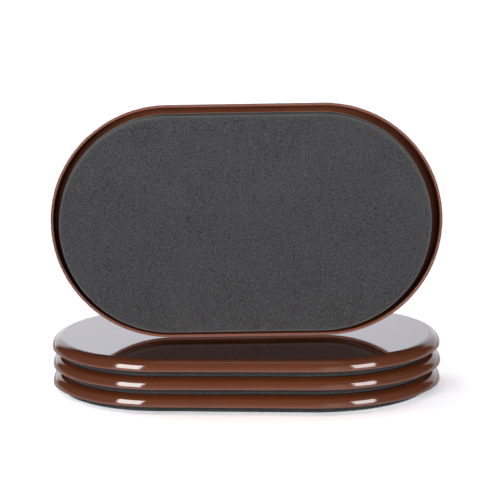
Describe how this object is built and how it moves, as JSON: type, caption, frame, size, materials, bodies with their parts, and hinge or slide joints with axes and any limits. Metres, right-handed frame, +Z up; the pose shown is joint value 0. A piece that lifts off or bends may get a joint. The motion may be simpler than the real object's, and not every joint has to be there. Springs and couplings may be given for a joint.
{
  "type": "furniture slider",
  "caption": "Oval furniture sliders with a glossy moulded dish shell and a thick foam pad, stacked flat with one standing on its long edge.",
  "frame": {"origin": "on the floor, under the centre of the outline of the lowest slider", "axes": "+Z up, +X along the length of the lowest slider, +Y away from the side that shows the foam face of the standing slider"},
  "size_m": [0.2437, 0.1483, 0.1798],
  "materials": {
    "shell_plastic": "gloss",
    "pad_foam": "matte",
    "adhesive_film": "matte"
  },
  "bodies": {
    "bottom_slider": {"bottom_shell": "shell_plastic", "bottom_adhesive": "adhesive_film", "bottom_pad": "pad_foam"},
    "middle_slider": {"middle_shell": "shell_plastic", "middle_adhesive": "adhesive_film", "middle_pad": "pad_foam"},
    "top_slider": {"top_shell": "shell_plastic", "top_adhesive": "adhesive_film", "top_pad": "pad_foam"},
    "standing_slider": {"standing_shell": "shell_plastic", "standing_adhesive": "adhesive_film", "standing_pad": "pad_foam"}
  },
  "joints": [
    {"name": "middle_lift", "type": "slide", "parent": "bottom_slider", "child": "middle_slider", "axis": [0, 0, 1], "range_m": [0, 0.08]},
    {"name": "top_lift", "type": "slide", "parent": "middle_slider", "child": "top_slider", "axis": [0, 0, 1], "range_m": [0, 0.08]},
    {"name": "standing_lift", "type": "slide", "parent": "top_slider", "child": "standing_slider", "axis": [0, 0, 1], "range_m": [0, 0.08]}
  ]
}
